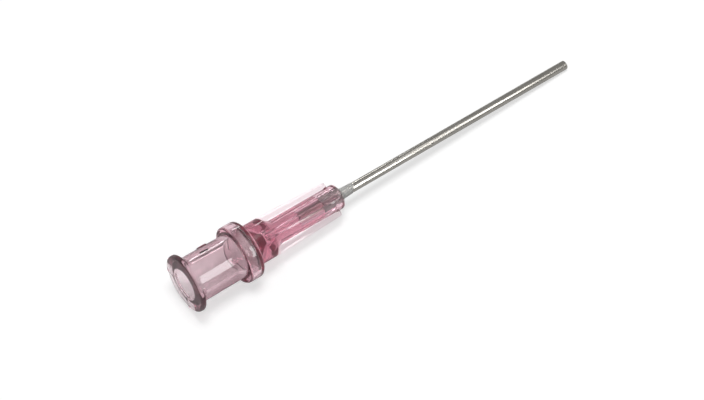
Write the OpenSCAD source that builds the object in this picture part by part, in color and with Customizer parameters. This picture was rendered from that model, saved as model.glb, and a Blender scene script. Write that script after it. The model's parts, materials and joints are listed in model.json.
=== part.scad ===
// Blunt filter needle: a tinted clear hub in two mouldings, a filter disc welded between them,
// and a blunt steel cannula bonded into the hub's nose.
// Millimetres. Stations run along the needle's own axis from the socket's mouth to the tip.
// It lies on a table as it comes to rest, on its collar and its tip, with the tip towards +X.

/* [Taper socket] */
// Diameter of the socket at its mouth
socket_mouth_d = 4.3; // [4:0.05:5]
// Depth of the tapered socket
socket_depth = 6.7; // [6:0.1:9]
// Taper of the socket, as the change of its diameter over its length
socket_taper = 0.06; // [0.02:0.01:0.1]
// Chamfer at the socket's mouth
socket_chamfer = 0.12; // [0.05:0.01:0.25]
// Wall of the barrel at the socket's mouth
socket_wall = 0.97; // [0.7:0.01:1.4]
// Fall of the barrel's radius from the flange to the collar
barrel_draft = 0.07; // [0:0.01:0.15]

/* [Lug flange] */
// Thickness of the flange
flange_t = 0.6; // [0.4:0.05:1]
// How far the flange stands out from the barrel
flange_lip = 0.63; // [0.45:0.01:0.9]
// How far the two lugs stand out past the flange
lug_lip = 0.25; // [0.1:0.01:0.5]
// Width of each lug
lug_w = 5.3; // [3:0.1:6.5]
// Length of the slope behind each lug
lug_slope = 0.7; // [0.5:0.1:1.6]
// Length of the cove between the flange and the barrel
flange_cove = 0.35; // [0.1:0.05:0.6]
// Rounding of the flange's rim on the side of the mouth
mouth_round = 0.38; // [0.1:0.01:0.45]
// Rounding of the flange's rim on the side of the barrel
flange_round = 0.13; // [0.05:0.01:0.3]

/* [Gate pad] */
// Station of the pad that the moulding gate leaves on the barrel
gate_x = 4.55; // [3:0.05:6]
// Length of the gate pad along the barrel
gate_len = 1.15; // [0.6:0.05:2]
// Width of the gate pad
gate_w = 0.7; // [0.4:0.05:1.2]
// How far the gate pad stands out from the barrel
gate_h = 0.1; // [0.05:0.01:0.25]

/* [Welded joint] */
// Length of the funnel from the socket to the filter
funnel_len = 2.5; // [1.2:0.1:3]
// Width of the flat ring that presses on the filter's edge
filter_land = 0.75; // [0.4:0.05:1]
// Thickness of the insert flange
insert_t = 1.5; // [1:0.1:2]
// How far the insert flange stands out from the barrel
insert_lip = 0.32; // [0.2:0.01:0.6]
// Wall of the cup collar round the insert flange
cup_wall = 0.58; // [0.42:0.01:0.8]
// Floor of the cup collar, in front of the filter
cup_floor = 0.45; // [0.4:0.05:0.8]
// Rounding of the cup collar's edges
collar_round = 0.36; // [0.1:0.01:0.4]
// Thickness of the filter disc
filter_t = 0.15; // [0.1:0.01:0.3]
// Gap left at each welded or bonded seam
seam_gap = 0.02; // [0.01:0.005:0.04]

/* [Front hub] */
// Radius of the barrel in front of the collar
chamber_barrel_r = 2.78; // [2.5:0.01:3.1]
// Length of the barrel in front of the collar
chamber_barrel_len = 2.9; // [2.4:0.1:4]
// Wall between the chamber and the barrel in front of the collar
chamber_wall = 0.65; // [0.5:0.05:0.9]
// Length of the chamber, down to the start of its funnel
chamber_len = 1.0; // [0.6:0.05:1.6]
// Length of the funnel from the chamber to the throat
outlet_len = 1.55; // [1:0.05:2]
// Radius of the throat between the funnel and the passage
throat_r = 0.66; // [0.5:0.01:0.9]
// Length of the throat
throat_len = 0.7; // [0.3:0.05:1.2]
// Length of the shoulder down to the core
shoulder_len = 1.3; // [0.7:0.1:1.6]
// Length of the core from the shoulder to the nose
core_len = 9.2; // [8:0.1:11]
// Wall of the core round the cannula
core_wall = 0.96; // [0.85:0.01:1.2]
// How far the nose stands out from the core
nose_lip = 0.12; // [0:0.01:0.15]
// Length of the nose
nose_len = 1.1; // [0.8:0.1:1.6]
// Rounding of the nose's edge
nose_round = 0.22; // [0.1:0.01:0.3]
// Radius of the passage between the throat and the cannula
passage_r = 0.32; // [0.2:0.01:0.5]
// Depth of the adhesive well behind the nose's face
well_depth = 3.0; // [2:0.1:4]
// Gap between the cannula and the adhesive well's wall
well_gap = 0.4; // [0.2:0.05:0.5]

/* [Ribs] */
// Number of ribs round the core
rib_count = 4; // [2:1:8]
// Thickness of each rib
rib_t = 0.55; // [0.4:0.05:0.8]
// Fall of the ribs' crest radius from the barrel to their front ends
rib_fall = 0.34; // [0:0.01:0.5]
// How far behind the nose's face the ribs end
rib_setback = 0.8; // [0.3:0.1:2]
// Rounding of the ribs' front corners
rib_round = 0.2; // [0.05:0.05:0.3]

/* [Cannula] */
// Outside diameter of the cannula
cannula_d = 1.27; // [1:0.01:1.5]
// Wall of the cannula
cannula_wall = 0.15; // [0.1:0.01:0.2]
// Length of the cannula in front of the nose's face
cannula_reach = 38.9; // [20:0.1:50]
// Length of the cannula inside the nose and core
cannula_seat = 6.5; // [5:0.1:8]
// Rounding of the cannula's tip
tip_round = 0.09; // [0.04:0.01:0.1]

/* [Adhesive] */
// Height of the adhesive dome in front of the nose's face
dome_h = 0.45; // [0.2:0.05:0.7]
// Wall of bare nose face left round the dome
dome_margin = 0.3; // [0.2:0.05:0.5]
// Length of the adhesive film along the cannula, past the dome
film_len = 2.1; // [1:0.1:3]
// Thickness of the adhesive film at its root
film_t = 0.14; // [0.08:0.01:0.2]

/* [Rest pose] */
// Turn of the hub's lugs and ribs about the needle's axis
roll = 30; // [0:1:90]

/* [Hidden] */
$fn = 96;

// Radii
socket_mouth_r = socket_mouth_d / 2;
socket_end_r = socket_mouth_r - socket_taper * socket_depth / 2;
barrel_r = socket_mouth_r + socket_wall;
barrel_end_r = barrel_r - barrel_draft;
flange_r = barrel_r + flange_lip;
lug_r = flange_r + lug_lip;
insert_r = barrel_end_r + insert_lip;
recess_r = insert_r + seam_gap;
collar_r = recess_r + cup_wall;
funnel_r = insert_r - filter_land;
filter_r = insert_r - seam_gap;
cannula_r = cannula_d / 2;
bore_r = cannula_r - cannula_wall;
seat_r = cannula_r + seam_gap;
core_r = seat_r + core_wall;
nose_r = core_r + nose_lip;
well_r = seat_r + well_gap;
chamber_r = chamber_barrel_r - chamber_wall;
rib_tip_r = chamber_barrel_r - rib_fall;
dome_r = nose_r - dome_margin;

// Stations
insert_front_x = socket_depth + funnel_len;
insert_rear_x = insert_front_x - insert_t;
filter_x = insert_front_x + seam_gap;
recess_x = filter_x + filter_t + seam_gap;
collar_front_x = recess_x + cup_floor;
outlet_x = recess_x + chamber_len;
throat_x = outlet_x + outlet_len;
passage_x = throat_x + throat_len;
shoulder_x = collar_front_x + chamber_barrel_len;
core_x = shoulder_x + shoulder_len;
nose_x = core_x + core_len;
face_x = nose_x + nose_len;
rib_end_x = face_x - rib_setback;
rib_len = rib_end_x - shoulder_x;
well_x = face_x - well_depth;
cannula_x = face_x - cannula_seat;
tip_x = face_x + cannula_reach;

// Roundings, limited by the walls that carry them
mouth_edge = min(mouth_round, 0.7 * flange_t);
flange_edge = min(flange_round, 0.25 * flange_t);
collar_edge = min(collar_round, 0.8 * cup_wall);
nose_edge = min(nose_round, 0.4 * nose_len);
tip_edge = min(tip_round, 0.7 * cannula_wall);

// The rest pose: a plane that touches the collar's front edge and the tip's edge
touch_run = (tip_x - tip_edge) - (collar_front_x - collar_edge);
touch_drop = (collar_r - collar_edge) - (cannula_r - tip_edge);
touch_span = sqrt(touch_run * touch_run + touch_drop * touch_drop);
tilt = atan2(touch_drop, touch_run) + asin((collar_edge - tip_edge) / touch_span);
lift = collar_edge + (collar_front_x - collar_edge) * sin(tilt) + (collar_r - collar_edge) * cos(tilt);
mouth_end = mouth_edge * (cos(tilt) - 1) - (flange_r - mouth_edge) * sin(tilt);
tip_end = (tip_x - tip_edge) * cos(tilt) + (cannula_r - tip_edge) * sin(tilt) + tip_edge;
middle = (mouth_end + tip_end) / 2;

// Overlap of cutters past the faces that they open, and of bodies that are joined
cut = 0.2;

// Lays what was drawn along +Z, from the socket's mouth at the origin, on the table
module lying() {
    translate([-middle, 0, lift])
        rotate([0, tilt, 0])
            rotate([roll, 0, 0])
                rotate([0, 90, 0])
                    children();
}

// Half-section of a disc between two stations, with a rounding of its own on each edge of the rim
module rim_section(r, from, to, rear_edge, front_edge) {
    translate([0, from])
        square([r - rear_edge, to - from - front_edge]);
    translate([0, from + rear_edge])
        square([r, to - from - rear_edge - front_edge]);
    translate([0, from + rear_edge])
        square([r - front_edge, to - from - rear_edge]);
    intersection() {
        translate([r - rear_edge, from + rear_edge])
            circle(r = rear_edge);
        translate([0, from])
            square([r, rear_edge]);
    }
    intersection() {
        translate([r - front_edge, to - front_edge])
            circle(r = front_edge);
        translate([0, to - front_edge])
            square([r, front_edge]);
    }
}

// Half-section between two stations whose radius changes evenly
module taper_section(r_from, r_to, from, to) {
    polygon([[0, from], [r_from, from], [r_to, to], [0, to]]);
}

// Solid cone or cylinder between two stations
module taper(r_from, r_to, from, to) {
    translate([0, 0, from])
        cylinder(r1 = r_from, r2 = r_to, h = to - from);
}

// Outside of the rear moulding, apart from its lugs
module rear_body() {
    rotate_extrude() {
        rim_section(flange_r, 0, flange_t, mouth_edge, flange_edge);
        taper_section(barrel_r + flange_cove, barrel_r, flange_t - flange_edge, flange_t + flange_cove);
        taper_section(barrel_r, barrel_end_r, flange_edge, insert_rear_x);
        taper_section(insert_r, insert_r, insert_rear_x, insert_front_x);
    }
}

// The two locking lugs: parts of a larger flange with a sloping back
module lugs() {
    intersection() {
        rotate_extrude() {
            rim_section(lug_r, 0, flange_t, mouth_edge, flange_edge);
            taper_section(lug_r - flange_edge, barrel_r, flange_t, flange_t + lug_slope);
        }
        translate([-lug_w / 2, -lug_r, 0])
            cube([lug_w, 2 * lug_r, flange_t + lug_slope]);
    }
}

// Socket, its chamfered mouth and the funnel that spreads the flow over the filter
module socket_cut() {
    taper(socket_mouth_r, socket_end_r, 0, socket_depth);
    taper(socket_mouth_r + socket_chamfer + cut, socket_mouth_r, -cut, socket_chamfer);
    taper(socket_end_r, funnel_r, socket_depth, insert_front_x);
    taper(funnel_r, funnel_r, insert_front_x - seam_gap, insert_front_x + cut);
}

module rear_hub() {
    color([0.82, 0.62, 0.69, 0.6])
        lying()
            difference() {
                union() {
                    rear_body();
                    lugs();
                    translate([-gate_w / 2, barrel_r - socket_wall / 2, gate_x - gate_len / 2])
                        cube([gate_w, socket_wall / 2 + gate_h, gate_len]);
                }
                socket_cut();
            }
}

module filter_disc() {
    color([0.95, 0.95, 0.93])
        lying()
            taper(filter_r, filter_r, filter_x, filter_x + filter_t);
}

// Collar, chamber barrel, shoulder, core and nose
module front_body() {
    rotate_extrude() {
        rim_section(collar_r, insert_rear_x, collar_front_x, collar_edge, collar_edge);
        taper_section(chamber_barrel_r, chamber_barrel_r, recess_x, shoulder_x);
        taper_section(chamber_barrel_r, core_r, shoulder_x, core_x);
        taper_section(core_r, core_r, core_x, nose_x);
        rim_section(nose_r, nose_x - nose_edge, face_x, nose_edge, nose_edge);
    }
}

// Ribs from the barrel to the nose, cut from one turned envelope so that their crests stay round
module ribs() {
    intersection() {
        rotate_extrude() {
            taper_section(chamber_barrel_r, rib_tip_r, shoulder_x - cut, rib_end_x - rib_round);
            taper_section(rib_tip_r - rib_round, rib_tip_r - rib_round, rib_end_x - 2 * rib_round, rib_end_x);
            translate([rib_tip_r - rib_round, rib_end_x - rib_round])
                circle(r = rib_round);
        }
        for (i = [0 : rib_count - 1])
            rotate([0, 0, i * 360 / rib_count])
                translate([0, -rib_t / 2, shoulder_x - cut])
                    cube([chamber_barrel_r, rib_t, rib_len + cut]);
    }
}

// Cup recess, filter chamber, funnel, throat, passage, cannula seat and adhesive well
module flow_cut() {
    taper(recess_r, recess_r, insert_rear_x - cut, recess_x);
    taper(funnel_r, chamber_r, recess_x - seam_gap, outlet_x);
    taper(chamber_r, throat_r, outlet_x, throat_x);
    taper(throat_r, throat_r, throat_x - cut, passage_x);
    taper(passage_r, passage_r, passage_x - cut, cannula_x);
    taper(seat_r, seat_r, cannula_x - seam_gap, face_x);
    taper(well_r, well_r, well_x, face_x + cut);
}

module front_hub() {
    color([0.80, 0.55, 0.63, 0.6])
        lying()
            difference() {
                union() {
                    front_body();
                    ribs();
                }
                flow_cut();
            }
}

module cannula() {
    color([0.62, 0.62, 0.60])
        lying()
            rotate_extrude() {
                translate([bore_r, cannula_x])
                    square([cannula_wall, tip_x - tip_edge - cannula_x]);
                translate([bore_r, cannula_x])
                    square([cannula_wall - tip_edge, tip_x - cannula_x]);
                translate([cannula_r - tip_edge, tip_x - tip_edge])
                    circle(r = tip_edge);
            }
}

// Plug in the well, dome on the nose's face and film that thins out along the cannula
module adhesive_bead() {
    color([0.90, 0.88, 0.86])
        lying()
            difference() {
                rotate_extrude() {
                    taper_section(well_r - seam_gap, well_r - seam_gap, well_x + seam_gap, face_x + 2 * seam_gap);
                    taper_section(dome_r, dome_r - dome_h / 2, face_x + seam_gap, face_x + 0.6 * dome_h);
                    taper_section(dome_r - dome_h / 2, seat_r + film_t, face_x + 0.6 * dome_h, face_x + dome_h);
                    taper_section(seat_r + film_t, seat_r + seam_gap, face_x + dome_h, face_x + dome_h + film_len);
                }
                taper(seat_r, seat_r, well_x, face_x + dome_h + film_len + cut);
            }
}

rear_hub();
filter_disc();
front_hub();
cannula();
adhesive_bead();
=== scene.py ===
import json
import math

import bmesh
import bpy
from mathutils import Matrix, Vector


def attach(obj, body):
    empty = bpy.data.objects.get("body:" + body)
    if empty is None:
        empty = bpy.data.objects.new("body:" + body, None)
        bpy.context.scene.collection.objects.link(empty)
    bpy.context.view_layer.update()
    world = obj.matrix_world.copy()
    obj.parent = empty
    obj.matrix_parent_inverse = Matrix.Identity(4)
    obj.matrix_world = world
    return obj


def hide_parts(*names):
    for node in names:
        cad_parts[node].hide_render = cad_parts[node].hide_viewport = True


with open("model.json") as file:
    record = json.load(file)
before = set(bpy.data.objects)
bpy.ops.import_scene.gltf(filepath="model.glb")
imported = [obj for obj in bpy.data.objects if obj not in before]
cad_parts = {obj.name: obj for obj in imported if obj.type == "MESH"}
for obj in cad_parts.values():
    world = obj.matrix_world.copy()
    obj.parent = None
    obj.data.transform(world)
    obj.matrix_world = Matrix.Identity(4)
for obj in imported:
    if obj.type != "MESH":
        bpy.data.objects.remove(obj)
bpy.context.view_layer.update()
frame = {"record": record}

# Sizes in millimetres, the same as in the part's source. Stations run along the needle's axis from the socket's mouth.
SOCKET_MOUTH_R, SOCKET_END_R, SOCKET_DEPTH, SOCKET_CHAMFER = 2.15, 1.949, 6.7, 0.12
BARREL_R, BARREL_END_R = 3.12, 3.05
FLANGE_R, FLANGE_T, MOUTH_EDGE, FLANGE_EDGE, FLANGE_COVE = 3.75, 0.6, 0.38, 0.13, 0.35
LUG_R, LUG_W, LUG_SLOPE = 4.0, 5.3, 0.7
GATE_X, GATE_LEN, GATE_W, GATE_H = 4.55, 1.15, 0.7, 0.1
INSERT_R, INSERT_REAR, INSERT_FRONT, FUNNEL_R = 3.37, 7.7, 9.2, 2.62
FILTER_R, FILTER_X, FILTER_T = 3.35, 9.22, 0.15
RECESS_R, RECESS_X = 3.39, 9.39
COLLAR_R, COLLAR_FRONT, COLLAR_EDGE = 3.97, 9.84, 0.36
CHAMBER_BARREL_R, CHAMBER_R, OUTLET_X, THROAT_R, THROAT_X = 2.78, 2.13, 10.39, 0.66, 11.94
SHOULDER_X, CORE_X, NOSE_X, FACE_X = 12.74, 14.04, 23.24, 24.34
CORE_R, NOSE_R, NOSE_EDGE = 1.615, 1.735, 0.22
PASSAGE_R, PASSAGE_X, WELL_R, WELL_X = 0.32, 12.64, 1.055, 21.34
RIB_COUNT, RIB_T, RIB_TIP_R, RIB_END, RIB_ROUND = 4, 0.55, 2.44, 23.54, 0.2
CANNULA_R, BORE_R, SEAT_R, CANNULA_X, TIP_X, TIP_EDGE = 0.635, 0.485, 0.655, 17.84, 63.24, 0.09
DOME_R, DOME_H, FILM_LEN, FILM_T, SEAM = 1.435, 0.45, 2.1, 0.14, 0.02
ROLL = math.radians(30)

mouth_mount = next(m for m in frame["record"]["mounts"] if m["name"] == "taper_socket")
MOUTH = Vector(mouth_mount["pos_m"]) * 1000
AHEAD = -Vector(mouth_mount["axis"])
TILT = math.atan2(-AHEAD.z, AHEAD.x)
LAY = (Matrix.Translation(MOUTH) @ Matrix.Rotation(TILT, 4, "Y") @ Matrix.Rotation(ROLL, 4, "X")
       @ Matrix.Rotation(math.pi / 2, 4, "Y"))


def rounded(corners, closed=True, steps=6):
    """Polyline through corners (station, radius, rounding), with the same number of points for each corner."""
    out = []
    count = len(corners)
    for i, (z, r, f) in enumerate(corners):
        here = Vector((z, r))
        if not closed and i in (0, count - 1):
            out.append((z, r))
            continue
        before = Vector(corners[i - 1][:2]) - here
        after = Vector(corners[(i + 1) % count][:2]) - here
        la, lb = before.length, after.length
        a, b = before / la, after / lb
        half = math.acos(max(-1, min(1, a.dot(b)))) / 2
        if f <= 0 or half > math.radians(89.5):
            out += [(z, r)] * (1 if f <= 0 else steps + 1)
            continue
        reach = min(f / math.tan(half), 0.49 * la, 0.49 * lb)
        f = reach * math.tan(half)
        centre = here + (a + b).normalized() * (f / math.sin(half))
        start, end = here + a * reach - centre, here + b * reach - centre
        turn = math.atan2(start.x * end.y - start.y * end.x, start.dot(end))
        for k in range(steps + 1):
            g = turn * k / steps
            out.append((centre.x + start.x * math.cos(g) - start.y * math.sin(g),
                        centre.y + start.x * math.sin(g) + start.y * math.cos(g)))
    return out


def grid_object(name, rows, closed_rows=True, sharp=28):
    """Closed mesh from rings of drawn points (x, y, station), laid on the table."""
    bm = bmesh.new()
    table = [[bm.verts.new(LAY @ Vector(p) / 1000) for p in row] for row in rows]
    count = len(table)
    for i in range(count if closed_rows else count - 1):
        a, b = table[i], table[(i + 1) % count]
        for j in range(len(a)):
            k = (j + 1) % len(a)
            bm.faces.new((a[j], a[k], b[k], b[j]))
    bmesh.ops.remove_doubles(bm, verts=bm.verts, dist=2e-7)
    bmesh.ops.dissolve_degenerate(bm, edges=bm.edges, dist=1e-8)
    bmesh.ops.recalc_face_normals(bm, faces=bm.faces)
    for f in bm.faces:
        f.smooth = True
    for e in bm.edges:
        e.smooth = not (e.is_manifold and e.calc_face_angle(0) > math.radians(sharp))
    mesh = bpy.data.meshes.new(name)
    bm.to_mesh(mesh)
    bm.free()
    obj = bpy.data.objects.new(name, mesh)
    bpy.context.scene.collection.objects.link(obj)
    return obj


def ring(z, r, angles):
    return [(r * math.cos(a), r * math.sin(a), z) for a in angles]


def lathe(name, profile, columns=128, closed_rows=True):
    angles = [2 * math.pi * k / columns for k in range(columns)]
    return grid_object(name, [ring(z, r, angles) for z, r in profile], closed_rows)


# ---- rear moulding
def rear_corners(lug):
    rim = LUG_R if lug else FLANGE_R
    if lug:
        back = [(FLANGE_T, LUG_R, FLANGE_EDGE), (FLANGE_T + 0.01, LUG_R - FLANGE_EDGE - 0.02, 0.02),
                (FLANGE_T + LUG_SLOPE, BARREL_R, 0.15)]
    else:
        back = [(FLANGE_T, FLANGE_R, FLANGE_EDGE), (FLANGE_T, BARREL_R, FLANGE_COVE),
                (FLANGE_T + LUG_SLOPE, BARREL_R, 0.001)]
    pad = [(GATE_X + side * (GATE_LEN / 2 + off), BARREL_R - 0.035, 0)
           for side, off in ((-1, 0.05), (-1, 0), (-0.5, 0), (0, 0), (0.5, 0), (1, 0), (1, 0.05))]
    return ([(0, SOCKET_MOUTH_R + SOCKET_CHAMFER, 0.04), (0, rim, MOUTH_EDGE)] + back
            + [(3.0, BARREL_R - 0.015, 0)] + pad
            + [(INSERT_REAR, BARREL_END_R, 0.06), (INSERT_REAR, INSERT_R, 0.04), (INSERT_FRONT, INSERT_R, 0.04),
               (INSERT_FRONT, FUNNEL_R, 0.03), (SOCKET_DEPTH, SOCKET_END_R, 0.25), (SOCKET_CHAMFER, SOCKET_MOUTH_R, 0.04)])


def rear_rows():
    flange, lug = rounded(rear_corners(False)), rounded(rear_corners(True))
    columns = 240
    angles = {2 * math.pi * k / columns for k in range(columns)}
    pad_half = math.asin(GATE_W / 2 / BARREL_R)
    for side in (-1, 1):
        for off in (-0.012, 0.0, 0.012):
            angles.add(math.pi / 2 + side * (pad_half + off))
    angles = sorted(angles)
    rows = []
    for (zf, rf), (zl, rl) in zip(flange, lug):
        row = []
        for a in angles:
            off = abs((a % math.pi) - math.pi / 2)
            w = 0.0
            if rl > rf + 1e-4 or abs(zl - zf) > 1e-4:
                first = math.asin(min(1, LUG_W / 2 / rl))
                last = max(math.asin(min(1, LUG_W / 2 / rf)), first + 0.02)
                w = max(0.0, min(1.0, (last - off) / (last - first)))
            z, r = zf + (zl - zf) * w, rf + (rl - rf) * w
            turn = abs(a - math.pi / 2)
            if turn < pad_half and abs(z - GATE_X) <= GATE_LEN / 2 + 1e-6 and r > 2.9:
                torn = 0.02 * math.sin(z * 9.1) * math.cos(turn * 60 + z * 5)
                r = (BARREL_R + GATE_H - 0.02 + torn) / math.cos(turn)
            row.append((r * math.cos(a), r * math.sin(a), z))
        rows.append(row)
    return rows


# ---- front moulding
def rib_ring(z, core, crest):
    """One ring of the front moulding: core arcs with ribs between them, the same points for every ring."""
    out = []
    height = max(0.0, crest - core)
    h = RIB_T / 2
    round_top, round_root = min(0.1, 0.4 * height), min(0.12, 0.4 * height)
    top = max(crest, core)
    corner = math.asin((h - round_top) / (top - round_top))
    root = math.asin((h + round_root) / (core + round_root))
    half = []
    for k in range(4):
        a = corner * k / 3
        half.append((top * math.cos(a), top * math.sin(a)))
    cx, cy = (top - round_top) * math.cos(corner), (top - round_top) * math.sin(corner)
    for k in range(1, 5):
        a = corner + (math.pi / 2 - corner) * k / 4
        half.append((cx + round_top * math.cos(a), cy + round_top * math.sin(a)))
    fx, fy = (core + round_root) * math.cos(root), (core + round_root) * math.sin(root)
    x0 = cx
    for k in range(1, 4):
        half.append((x0 + (fx - x0) * k / 4, h))
    for k in range(5):
        a = 1.5 * math.pi - (math.pi / 2 - root) * k / 4
        half.append((fx + round_root * math.cos(a), fy + round_root * math.sin(a)))
    for k in range(1, 12):
        a = root + (math.pi / RIB_COUNT - root) * k / 11
        half.append((core * math.cos(a), core * math.sin(a)))
    whole = [(x, -y) for x, y in reversed(half[1:])][1:] + half
    for i in range(RIB_COUNT):
        a = 2 * math.pi * i / RIB_COUNT
        for x, y in whole:
            out.append((x * math.cos(a) - y * math.sin(a), x * math.sin(a) + y * math.cos(a), z))
    return out


def crest_at(z):
    start, end = SHOULDER_X - 0.2, RIB_END - RIB_ROUND
    if z <= SHOULDER_X:
        return 0.0
    line = CHAMBER_BARREL_R + (RIB_TIP_R - CHAMBER_BARREL_R) * min(1, (z - start) / (end - start))
    if z <= end:
        return line
    over = min(1, (z - end) / RIB_ROUND)
    return RIB_TIP_R - RIB_ROUND + RIB_ROUND * math.sqrt(max(0, 1 - over * over))


def front_rows():
    outer = rounded([
        (INSERT_REAR, RECESS_R, 0), (INSERT_REAR, COLLAR_R, COLLAR_EDGE), (COLLAR_FRONT, COLLAR_R, COLLAR_EDGE),
        (COLLAR_FRONT, CHAMBER_BARREL_R, 0.12), (SHOULDER_X, CHAMBER_BARREL_R, 0.18), (CORE_X, CORE_R, 0.45),
        (NOSE_X - 0.2, CORE_R, 0.1), (NOSE_X, NOSE_R, 0.1), (FACE_X, NOSE_R, NOSE_EDGE), (FACE_X, WELL_R, 0.05)],
        closed=False)
    extra = [16.0, 18.0, 20.0, 22.0] + [RIB_END - RIB_ROUND + RIB_ROUND * math.sin(k * math.pi / 12) for k in range(7)]
    dense = []
    for (z0, r0), (z1, r1) in zip(outer, outer[1:]):
        dense.append((z0, r0))
        for z in sorted(extra):
            if z0 + 1e-4 < z < z1 - 1e-4:
                dense.append((z, r0 + (r1 - r0) * (z - z0) / (z1 - z0)))
    dense.append(outer[-1])
    rows = []
    ended = False
    for z, r in dense:
        if not ended and z >= RIB_END - 1e-6 and r > 1.2:
            rows.append(rib_ring(RIB_END, r, RIB_TIP_R - RIB_ROUND))
            rows.append(rib_ring(RIB_END, r, 0))
            ended = True
            if abs(z - RIB_END) < 1e-6:
                continue
        rows.append(rib_ring(z, r, 0 if ended else crest_at(z)))
    inner = rounded([
        (FACE_X, WELL_R, 0), (WELL_X, WELL_R, 0.06), (WELL_X, SEAT_R, 0.03), (CANNULA_X - SEAM, SEAT_R, 0.02),
        (CANNULA_X - SEAM, PASSAGE_R, 0.03), (PASSAGE_X, PASSAGE_R, 0.04), (PASSAGE_X, THROAT_R, 0.06), (THROAT_X, THROAT_R, 0.1), (OUTLET_X, CHAMBER_R, 0.2),
        (RECESS_X, FUNNEL_R, 0.04), (RECESS_X, RECESS_R, 0.03), (INSERT_REAR, RECESS_R, 0)], closed=False)
    for z, r in inner[1:-1]:
        plain = rib_ring(z, 1.0, 0)
        row = []
        for x, y, _ in plain:
            a = math.atan2(y, x)
            row.append((r * math.cos(a), r * math.sin(a), z))
        rows.append(row)
    return rows


rear = grid_object("rear_moulding", rear_rows())
front = grid_object("front_moulding", front_rows())

# ---- cannula
tube = lathe("steel_cannula", rounded([
    (CANNULA_X, BORE_R, 0.02), (TIP_X, BORE_R, 0.04), (TIP_X, CANNULA_R, TIP_EDGE), (CANNULA_X, CANNULA_R, 0.02)]), 96)


# ---- adhesive: plug in the well, dome on the face, film that runs out unevenly along the cannula
def adhesive_rows():
    columns = 96
    profile = rounded([
        (WELL_X + SEAM, SEAT_R, 0.01), (WELL_X + SEAM, WELL_R - SEAM, 0.05), (FACE_X + SEAM, WELL_R - SEAM, 0.01),
        (FACE_X + SEAM, DOME_R, 0.06), (FACE_X + 0.27, DOME_R - 0.225, 0.2), (FACE_X + DOME_H, SEAT_R + FILM_T + 0.03, 0.2),
        (FACE_X + DOME_H + 0.5, SEAT_R + FILM_T * 0.6, 0.1), (FACE_X + DOME_H + FILM_LEN, SEAT_R + SEAM, 0.02),
        (FACE_X + DOME_H + FILM_LEN, SEAT_R, 0.005)])
    rows = []
    for z, r in profile:
        row = []
        for k in range(columns):
            a = 2 * math.pi * k / columns
            reach = 0.86 + 0.14 * math.cos(a - 2.2) + 0.03 * math.sin(3 * a)
            reach = min(1.0, reach)
            past = z - (FACE_X + DOME_H)
            zz = z if past < 0 else z - past * (1 - reach)
            rr = r
            if FACE_X + 0.1 < z < FACE_X + DOME_H + 0.3 and r > SEAT_R + 0.05:
                rr = r * (1 - 0.02 * (1 + math.sin(2 * a + 1)))
            row.append((rr * math.cos(a), rr * math.sin(a), zz))
        rows.append(row)
    return rows


bead = grid_object("adhesive_plug", adhesive_rows())
disc = lathe("filter_membrane", rounded([
    (FILTER_X, 0.0, 0), (FILTER_X, FILTER_R, 0.03), (FILTER_X + FILTER_T, FILTER_R, 0.03), (FILTER_X + FILTER_T, 0.0, 0)],
    closed=False), 96, closed_rows=False)

def mark(piece, slot_number, test):
    """Gives one of a piece's materials to the faces whose drawn centre (x, y, station) passes the test."""
    drawn = LAY.inverted()
    for face in piece.data.polygons:
        p = drawn @ (face.center * 1000)
        if test(p, math.hypot(p.x, p.y)):
            face.material_index = slot_number


for piece, node, slot in ((rear, "rear_hub", "rear_moulding"), (front, "front_hub", "front_moulding"),
                          (tube, "cannula", "steel"), (bead, "adhesive_bead", "adhesive"), (disc, "filter_disc", "filter")):
    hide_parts(node)
    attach(piece, "root")


# ---- materials
def material(name):
    mat = bpy.data.materials.new(name)
    mat.use_nodes = True
    tree = mat.node_tree
    tree.nodes.clear()
    out = tree.nodes.new("ShaderNodeOutputMaterial")
    shader = tree.nodes.new("ShaderNodeBsdfPrincipled")
    tree.links.new(shader.outputs["BSDF"], out.inputs["Surface"])
    return mat, tree, shader, out


def along_axis(tree, scale):
    """Object coordinates turned so that X runs along the needle, then scaled."""
    coord = tree.nodes.new("ShaderNodeTexCoord")
    turn = tree.nodes.new("ShaderNodeMapping")
    turn.inputs["Rotation"].default_value = (0, -TILT, 0)
    stretch = tree.nodes.new("ShaderNodeMapping")
    stretch.inputs["Scale"].default_value = scale
    tree.links.new(coord.outputs["Object"], turn.inputs["Vector"])
    tree.links.new(turn.outputs["Vector"], stretch.inputs["Vector"])
    return stretch.outputs["Vector"]


def noise(tree, vector, scale, detail=3, rough=0.5):
    n = tree.nodes.new("ShaderNodeTexNoise")
    n.inputs["Scale"].default_value = scale
    n.inputs["Detail"].default_value = detail
    n.inputs["Roughness"].default_value = rough
    tree.links.new(vector, n.inputs["Vector"])
    return n.outputs["Fac"]


def spread(tree, value, low, high):
    m = tree.nodes.new("ShaderNodeMapRange")
    m.inputs["From Min"].default_value = 0.3
    m.inputs["From Max"].default_value = 0.7
    m.inputs["To Min"].default_value = low
    m.inputs["To Max"].default_value = high
    tree.links.new(value, m.inputs["Value"])
    return m.outputs["Result"]


def tint(tree, value, dark, light):
    m = tree.nodes.new("ShaderNodeMix")
    m.data_type = "RGBA"
    m.inputs["A"].default_value = (*dark, 1)
    m.inputs["B"].default_value = (*light, 1)
    tree.links.new(value, m.inputs["Factor"])
    return m.outputs["Result"]


def bump(tree, height, shader, distance, strength=1.0):
    b = tree.nodes.new("ShaderNodeBump")
    b.inputs["Distance"].default_value = distance
    b.inputs["Strength"].default_value = strength
    tree.links.new(height, b.inputs["Height"])
    tree.links.new(b.outputs["Normal"], shader.inputs["Normal"])


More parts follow.
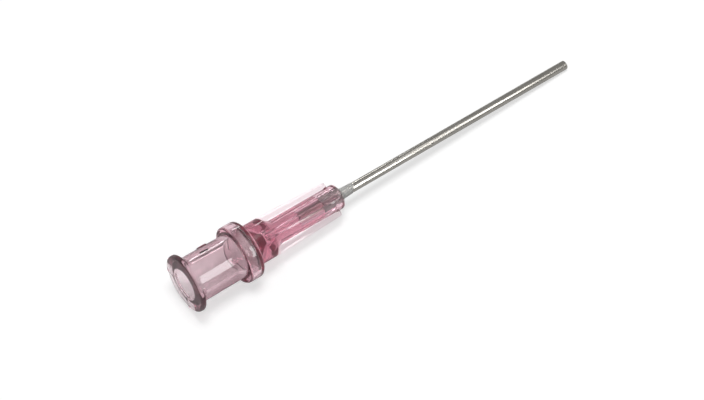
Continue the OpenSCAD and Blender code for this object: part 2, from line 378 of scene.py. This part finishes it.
def clear_plastic(name, per_metre, welded=False):
    """Clear plastic that takes up this much red, green and blue light, in 1/m. A welded face doesn't bend the light."""
    absorb_density = max(per_metre) * 1.02
    absorb_colour = [1 - v / absorb_density for v in per_metre]
    mat, tree, shader, out = material(name)
    shader.inputs["Transmission Weight"].default_value = 1.0
    shader.inputs["IOR"].default_value = 1.0 if welded else 1.53
    flow = noise(tree, along_axis(tree, (120, 600, 600)), 1.0, 3)
    grain = noise(tree, along_axis(tree, (2500, 2500, 2500)), 1.0, 2)
    tree.links.new(tint(tree, spread(tree, flow, 0, 1), (0.97, 0.965, 0.965), (0.995, 0.995, 0.995)), shader.inputs["Base Color"])
    tree.links.new(spread(tree, grain, 0.015, 0.045), shader.inputs["Roughness"])
    bump(tree, flow, shader, 0.00001, 0.12)
    absorb = tree.nodes.new("ShaderNodeVolumeAbsorption")
    absorb.inputs["Color"].default_value = (*absorb_colour, 1)
    absorb.inputs["Density"].default_value = absorb_density
    haze = tree.nodes.new("ShaderNodeVolumeScatter")
    haze.inputs["Color"].default_value = (0.99, 0.95, 0.96, 1)
    haze.inputs["Density"].default_value = 60
    both = tree.nodes.new("ShaderNodeAddShader")
    tree.links.new(absorb.outputs["Volume"], both.inputs[0])
    tree.links.new(haze.outputs["Volume"], both.inputs[1])
    tree.links.new(both.outputs[0], out.inputs["Volume"])
    return mat


for piece, name, per_metre in ((rear, "rear", (150, 285, 245)), (front, "front", (80, 285, 220))):
    piece.data.materials.append(clear_plastic(name + "_tinted_clear", per_metre))
    piece.data.materials.append(clear_plastic(name + "_weld", per_metre, welded=True))
mark(rear, 1, lambda p, r: abs(p.z - INSERT_FRONT) < 0.01 and FUNNEL_R + 0.01 < r)
mark(front, 1, lambda p, r: abs(p.z - RECESS_X) < 0.01 and FUNNEL_R + 0.01 < r < RECESS_R + 0.01)

# Gate pad: its near-black red colour is painted shade, standing in for the dark look of the small torn patch on the
# clear plastic; its bump is the real torn surface.
mat, tree, shader, _ = material("torn_gate_painted_shade")
tear = noise(tree, along_axis(tree, (5000, 5000, 5000)), 1.0, 3)
tree.links.new(tint(tree, spread(tree, tear, 0, 1), (0.10, 0.02, 0.03), (0.22, 0.07, 0.09)), shader.inputs["Base Color"])
shader.inputs["Roughness"].default_value = 0.55
bump(tree, tear, shader, 0.00003, 0.8)
rear.data.materials.append(mat)
mark(rear, 2, lambda p, r: r > BARREL_R + 0.02 and p.y > 2.9 and abs(p.x) < GATE_W / 2 + 0.01 and abs(p.z - GATE_X) < GATE_LEN / 2 + 0.01)

mat, tree, shader, _ = material("drawn_steel")
lines = noise(tree, along_axis(tree, (60, 9000, 9000)), 1.0, 4, 0.6)
patches = noise(tree, along_axis(tree, (200, 900, 900)), 1.0, 3)
tree.links.new(tint(tree, spread(tree, patches, 0, 1), (0.49, 0.468, 0.43), (0.62, 0.595, 0.55)), shader.inputs["Base Color"])
tree.links.new(spread(tree, lines, 0.13, 0.24), shader.inputs["Roughness"])
shader.inputs["Metallic"].default_value = 1.0
bump(tree, lines, shader, 0.000004, 0.25)
tube.data.materials.append(mat)

mat, tree, shader, out = material("cloudy_resin")
cloud = noise(tree, along_axis(tree, (500, 1500, 1500)), 1.0, 4)
tree.links.new(tint(tree, spread(tree, cloud, 0, 1), (0.76, 0.75, 0.73), (0.88, 0.88, 0.86)), shader.inputs["Base Color"])
tree.links.new(spread(tree, cloud, 0.2, 0.4), shader.inputs["Roughness"])
shader.inputs["Transmission Weight"].default_value = 0.55
shader.inputs["IOR"].default_value = 1.5
bump(tree, cloud, shader, 0.00002, 0.4)
bead.data.materials.append(mat)

mat, tree, shader, out = material("porous_membrane")
weave = noise(tree, along_axis(tree, (9000, 9000, 9000)), 1.0, 3)
tree.links.new(tint(tree, spread(tree, weave, 0, 1), (0.80, 0.79, 0.77), (0.95, 0.95, 0.93)), shader.inputs["Base Color"])
shader.inputs["Roughness"].default_value = 0.3
shader.inputs["Transmission Weight"].default_value = 0.97
shader.inputs["IOR"].default_value = 1.05
bump(tree, weave, shader, 0.00002, 0.8)
disc.data.materials.append(mat)

# ---- camera
scene = bpy.context.scene
camera_data = bpy.data.cameras.new("camera")
camera_data.lens, camera_data.sensor_width = 137.2, 36
camera_data.clip_start, camera_data.clip_end = 0.01, 20
camera = bpy.data.objects.new("camera", camera_data)
scene.collection.objects.link(camera)
scene.camera = camera
turn = (Matrix.Rotation(math.radians(-37.53), 3, "Z") @ Matrix.Rotation(math.radians(90 - 54.11), 3, "X")
        @ Matrix.Rotation(math.radians(-0.17), 3, "Z"))
camera.rotation_euler = turn.to_euler()
camera.location = (MOUTH + turn @ Vector((21.14, 10.669, 338.0))) / 1000

# ---- floor: takes the shadow, and shows white where no light is missing
FLOOR_GLOW = 0.6
MIRROR_SHARE = 0.1
floor_mesh = bpy.data.meshes.new("floor")
floor_mesh.from_pydata([(-4, -4, 0), (4, -4, 0), (4, 4, 0), (-4, 4, 0)], [], [(0, 1, 2, 3)])
floor = bpy.data.objects.new("floor", floor_mesh)
scene.collection.objects.link(floor)
mat = bpy.data.materials.new("floor")
mat.use_nodes = True
tree = mat.node_tree
tree.nodes.clear()
out = tree.nodes.new("ShaderNodeOutputMaterial")
diffuse = tree.nodes.new("ShaderNodeBsdfDiffuse")
diffuse.inputs["Color"].default_value = (0.5, 0.5, 0.5, 1)
glow = tree.nodes.new("ShaderNodeEmission")
path = tree.nodes.new("ShaderNodeLightPath")
seen = tree.nodes.new("ShaderNodeMath")
seen.operation = "MAXIMUM"
part = tree.nodes.new("ShaderNodeMath")
part.operation = "MULTIPLY"
part.inputs[1].default_value = MIRROR_SHARE
seen2 = tree.nodes.new("ShaderNodeMath")
seen2.operation = "MAXIMUM"
level = tree.nodes.new("ShaderNodeMath")
level.operation = "MULTIPLY"
level.inputs[1].default_value = FLOOR_GLOW
tree.links.new(path.outputs["Is Camera Ray"], seen.inputs[0])
tree.links.new(path.outputs["Is Transmission Ray"], seen.inputs[1])
tree.links.new(seen.outputs[0], seen2.inputs[0])
tree.links.new(path.outputs["Is Glossy Ray"], part.inputs[0])
tree.links.new(part.outputs[0], seen2.inputs[1])
tree.links.new(seen2.outputs[0], level.inputs[0])
tree.links.new(level.outputs[0], glow.inputs["Strength"])
both = tree.nodes.new("ShaderNodeAddShader")
tree.links.new(diffuse.outputs[0], both.inputs[0])
tree.links.new(glow.outputs[0], both.inputs[1])
tree.links.new(both.outputs[0], out.inputs["Surface"])
floor_mesh.materials.append(mat)

# ---- world: white to the camera, a soft grey room to the rest
world = bpy.data.worlds.new("world")
scene.world = world
world.use_nodes = True
tree = world.node_tree
tree.nodes.clear()
out = tree.nodes.new("ShaderNodeOutputWorld")
path = tree.nodes.new("ShaderNodeLightPath")
white = tree.nodes.new("ShaderNodeBackground")
white.inputs["Color"].default_value = (1, 1, 1, 1)
coord = tree.nodes.new("ShaderNodeTexCoord")
split = tree.nodes.new("ShaderNodeSeparateXYZ")
ramp = tree.nodes.new("ShaderNodeValToRGB")
ramp.color_ramp.elements[0].position, ramp.color_ramp.elements[0].color = 0.0, (0.26, 0.26, 0.26, 1)
ramp.color_ramp.elements[1].position, ramp.color_ramp.elements[1].color = 1.0, (0.36, 0.36, 0.36, 1)
room = tree.nodes.new("ShaderNodeBackground")
mix = tree.nodes.new("ShaderNodeMixShader")
tree.links.new(coord.outputs["Generated"], split.inputs[0])
tree.links.new(split.outputs["Z"], ramp.inputs["Fac"])
tree.links.new(ramp.outputs["Color"], room.inputs["Color"])
tree.links.new(path.outputs["Is Camera Ray"], mix.inputs["Fac"])
tree.links.new(room.outputs[0], mix.inputs[1])
tree.links.new(white.outputs[0], mix.inputs[2])
tree.links.new(mix.outputs[0], out.inputs["Surface"])


# ---- lamps
def lamp(name, place, aim, width, height, radiance, across):
    """Rectangular lamp that faces aim, with its width along across."""
    data = bpy.data.lights.new(name, "AREA")
    data.shape, data.size, data.size_y = "RECTANGLE", width, height
    data.energy = radiance * math.pi * width * height
    obj = bpy.data.objects.new(name, data)
    scene.collection.objects.link(obj)
    back = (place - aim).normalized()
    side = (across - back * across.dot(back)).normalized()
    obj.matrix_world = Matrix.Translation(place) @ Matrix((side, back.cross(side), back)).transposed().to_4x4()
    return obj


def mirror_spot(station, radius, degrees, distance):
    """Where a lamp stands for its highlight to fall at these degrees down from the line nearest to the camera."""
    middle = (MOUTH + AHEAD * station) / 1000
    towards = camera.location - middle
    nearest = (towards - AHEAD * towards.dot(AHEAD)).normalized()
    down = AHEAD.cross(nearest)
    a = math.radians(degrees)
    normal = nearest * math.cos(a) + down * math.sin(a)
    spot = middle + normal * radius / 1000
    sight = (spot - camera.location).normalized()
    return spot + (sight - normal * 2 * sight.dot(normal)) * distance


def highlight(name, stations, radius, degrees, distance, radiance):
    """Lamp whose reflection covers a stretch of the needle and a band of its round side."""
    c = [[mirror_spot(s, radius, d, distance) for d in degrees] for s in stations]
    place = (c[0][0] + c[0][1] + c[1][0] + c[1][1]) / 4
    across = (c[1][0] + c[1][1] - c[0][0] - c[0][1]) / 2
    along = (c[0][1] + c[1][1] - c[0][0] - c[1][0]) / 2
    aim = (MOUTH + AHEAD * sum(stations) / 2) / 1000
    back = (place - aim).normalized()
    width = (across - back * across.dot(back)).length
    obj = lamp(name, place, aim, width, along.length, radiance, across)
    obj.visible_diffuse = False
    return obj


highlight("front_box", (-2, 17), BARREL_R, (1, 20), 0.5, 8.0)
highlight("back_strip", (-2, 25.5), BARREL_R, (-49.5, -46), 0.5, 8.0)
TUBE_BOXES = (((26.5, 37), (-21, -9), 1.4), ((36, 47.5), (-12, 2), 1.7), ((46, 58), (-7, 10), 2.1), ((55, 72), (-4, 14), 4.5))
for number, (stations, degrees, radiance) in enumerate(TUBE_BOXES):
    highlight("tube_box_%d" % number, stations, CANNULA_R, degrees, 0.5, radiance)
top = lamp("top", Vector((0.0, 0.0, 0.8)), Vector((0, 0, 0)), 0.3, 0.3, 12.5, Vector((1, 0, 0)))
top.visible_glossy = False

scene.view_settings.view_transform = "Standard"
scene.cycles.max_bounces = 28
scene.cycles.transmission_bounces = 24
scene.cycles.glossy_bounces = 12
scene.cycles.diffuse_bounces = 4
scene.cycles.volume_bounces = 8
scene.cycles.transparent_max_bounces = 16
scene.cycles.use_denoising = True
